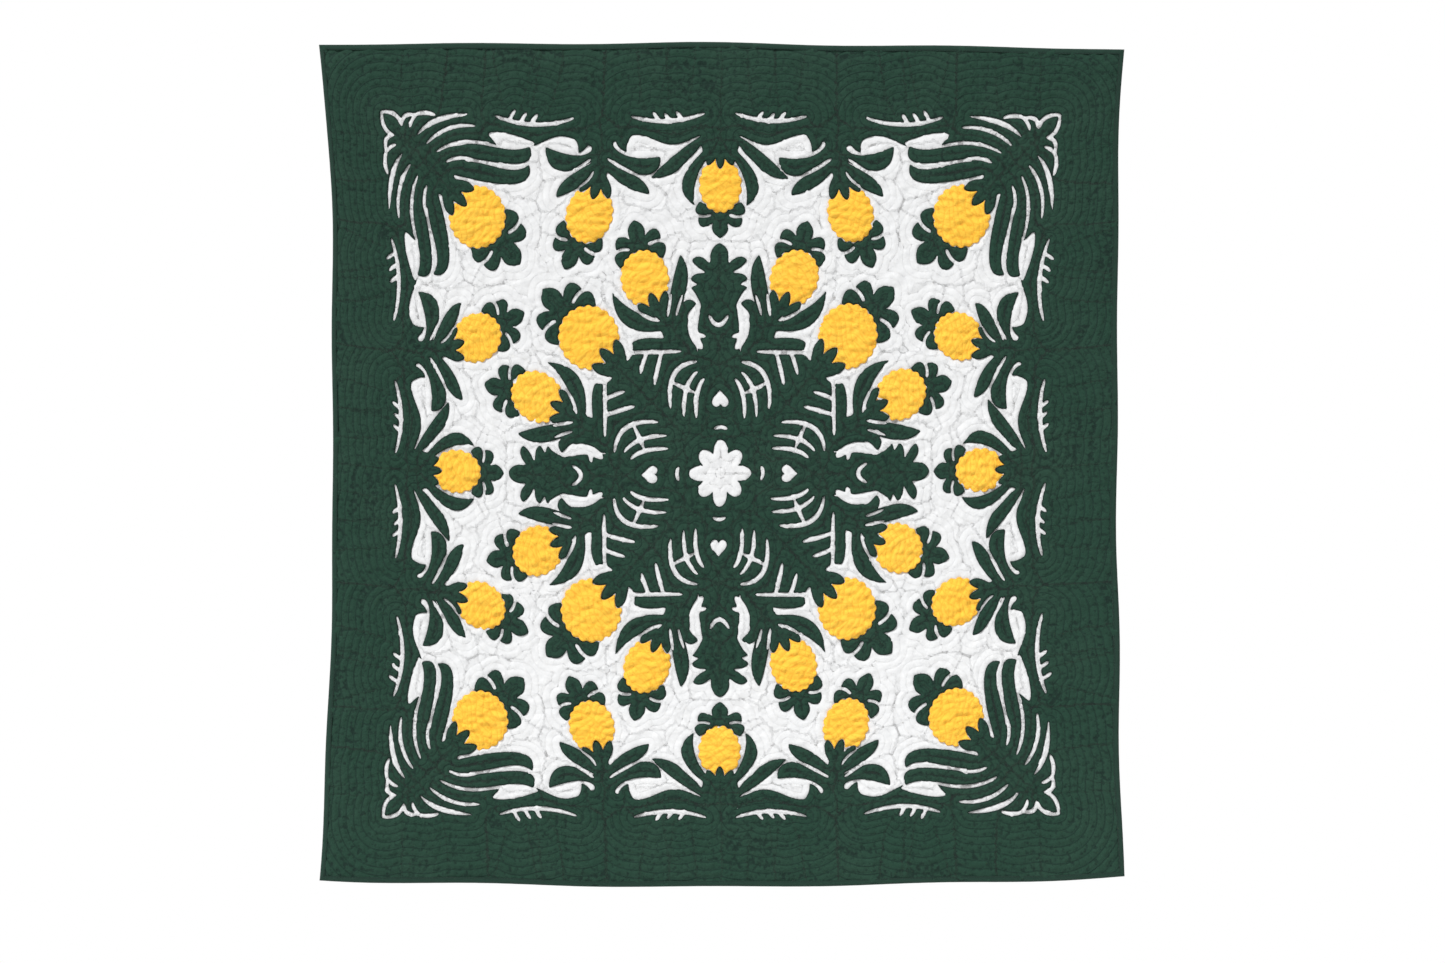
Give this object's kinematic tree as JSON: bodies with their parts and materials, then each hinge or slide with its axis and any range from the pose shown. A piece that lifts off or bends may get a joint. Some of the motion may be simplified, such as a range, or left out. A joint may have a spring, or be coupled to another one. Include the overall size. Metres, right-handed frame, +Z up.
{
  "type": "quilted wall hanging",
  "caption": "Square hand-quilted wall hanging in green, white and yellow: a mirrored applique of fronds and pineapples inside a green border.",
  "frame": {"origin": "middle of the top edge, halfway through the quilt's thickness, where it is held up", "axes": "+Z up, -Y out of the decorated face towards the room, +X to the right as seen from the room"},
  "size_m": [1.1274, 0.0183, 1.182],
  "materials": {
    "white_cloth": "matt quilted cotton",
    "green_cloth": "matt quilted cotton",
    "yellow_cloth": "matt quilted cotton",
    "binding_cloth": "matt folded cotton"
  },
  "bodies": {
    "root": {"binding": "binding_cloth", "centrepiece": "green_cloth", "crown_centre_corner_1": "green_cloth", "crown_centre_corner_2": "green_cloth", "crown_centre_corner_3": "green_cloth", "crown_centre_corner_4": "green_cloth", "crown_centre_side_1": "green_cloth", "crown_centre_side_2": "green_cloth", "crown_centre_side_3": "green_cloth", "crown_centre_side_4": "green_cloth", "crown_centre_side_5": "green_cloth", "crown_centre_side_6": "green_cloth", "crown_centre_side_7": "green_cloth", "crown_centre_side_8": "green_cloth", "crown_frame_corner_1": "green_cloth", "crown_frame_corner_2": "green_cloth", "crown_frame_corner_3": "green_cloth", "crown_frame_corner_4": "green_cloth", "crown_frame_flank_1": "green_cloth", "crown_frame_flank_2": "green_cloth", "crown_frame_flank_3": "green_cloth", "crown_frame_flank_4": "green_cloth", "crown_frame_flank_5": "green_cloth", "crown_frame_flank_6": "green_cloth", "crown_frame_flank_7": "green_cloth", "crown_frame_flank_8": "green_cloth", "crown_frame_middle_1": "green_cloth", "crown_frame_middle_2": "green_cloth", "crown_frame_middle_3": "green_cloth", "crown_frame_middle_4": "green_cloth", "fruit_centre_corner_1": "yellow_cloth", "fruit_centre_corner_2": "yellow_cloth", "fruit_centre_corner_3": "yellow_cloth", "fruit_centre_corner_4": "yellow_cloth", "fruit_centre_side_1": "yellow_cloth", "fruit_centre_side_2": "yellow_cloth", "fruit_centre_side_3": "yellow_cloth", "fruit_centre_side_4": "yellow_cloth", "fruit_centre_side_5": "yellow_cloth", "fruit_centre_side_6": "yellow_cloth", "fruit_centre_side_7": "yellow_cloth", "fruit_centre_side_8": "yellow_cloth", "fruit_frame_corner_1": "yellow_cloth", "fruit_frame_corner_2": "yellow_cloth", "fruit_frame_corner_3": "yellow_cloth", "fruit_frame_corner_4": "yellow_cloth", "fruit_frame_flank_1": "yellow_cloth", "fruit_frame_flank_2": "yellow_cloth", "fruit_frame_flank_3": "yellow_cloth", "fruit_frame_flank_4": "yellow_cloth", "fruit_frame_flank_5": "yellow_cloth", "fruit_frame_flank_6": "yellow_cloth", "fruit_frame_flank_7": "yellow_cloth", "fruit_frame_flank_8": "yellow_cloth", "fruit_frame_middle_1": "yellow_cloth", "fruit_frame_middle_2": "yellow_cloth", "fruit_frame_middle_3": "yellow_cloth", "fruit_frame_middle_4": "yellow_cloth", "green_frame": "green_cloth", "quilt_body": "white_cloth"}
  },
  "joints": []
}
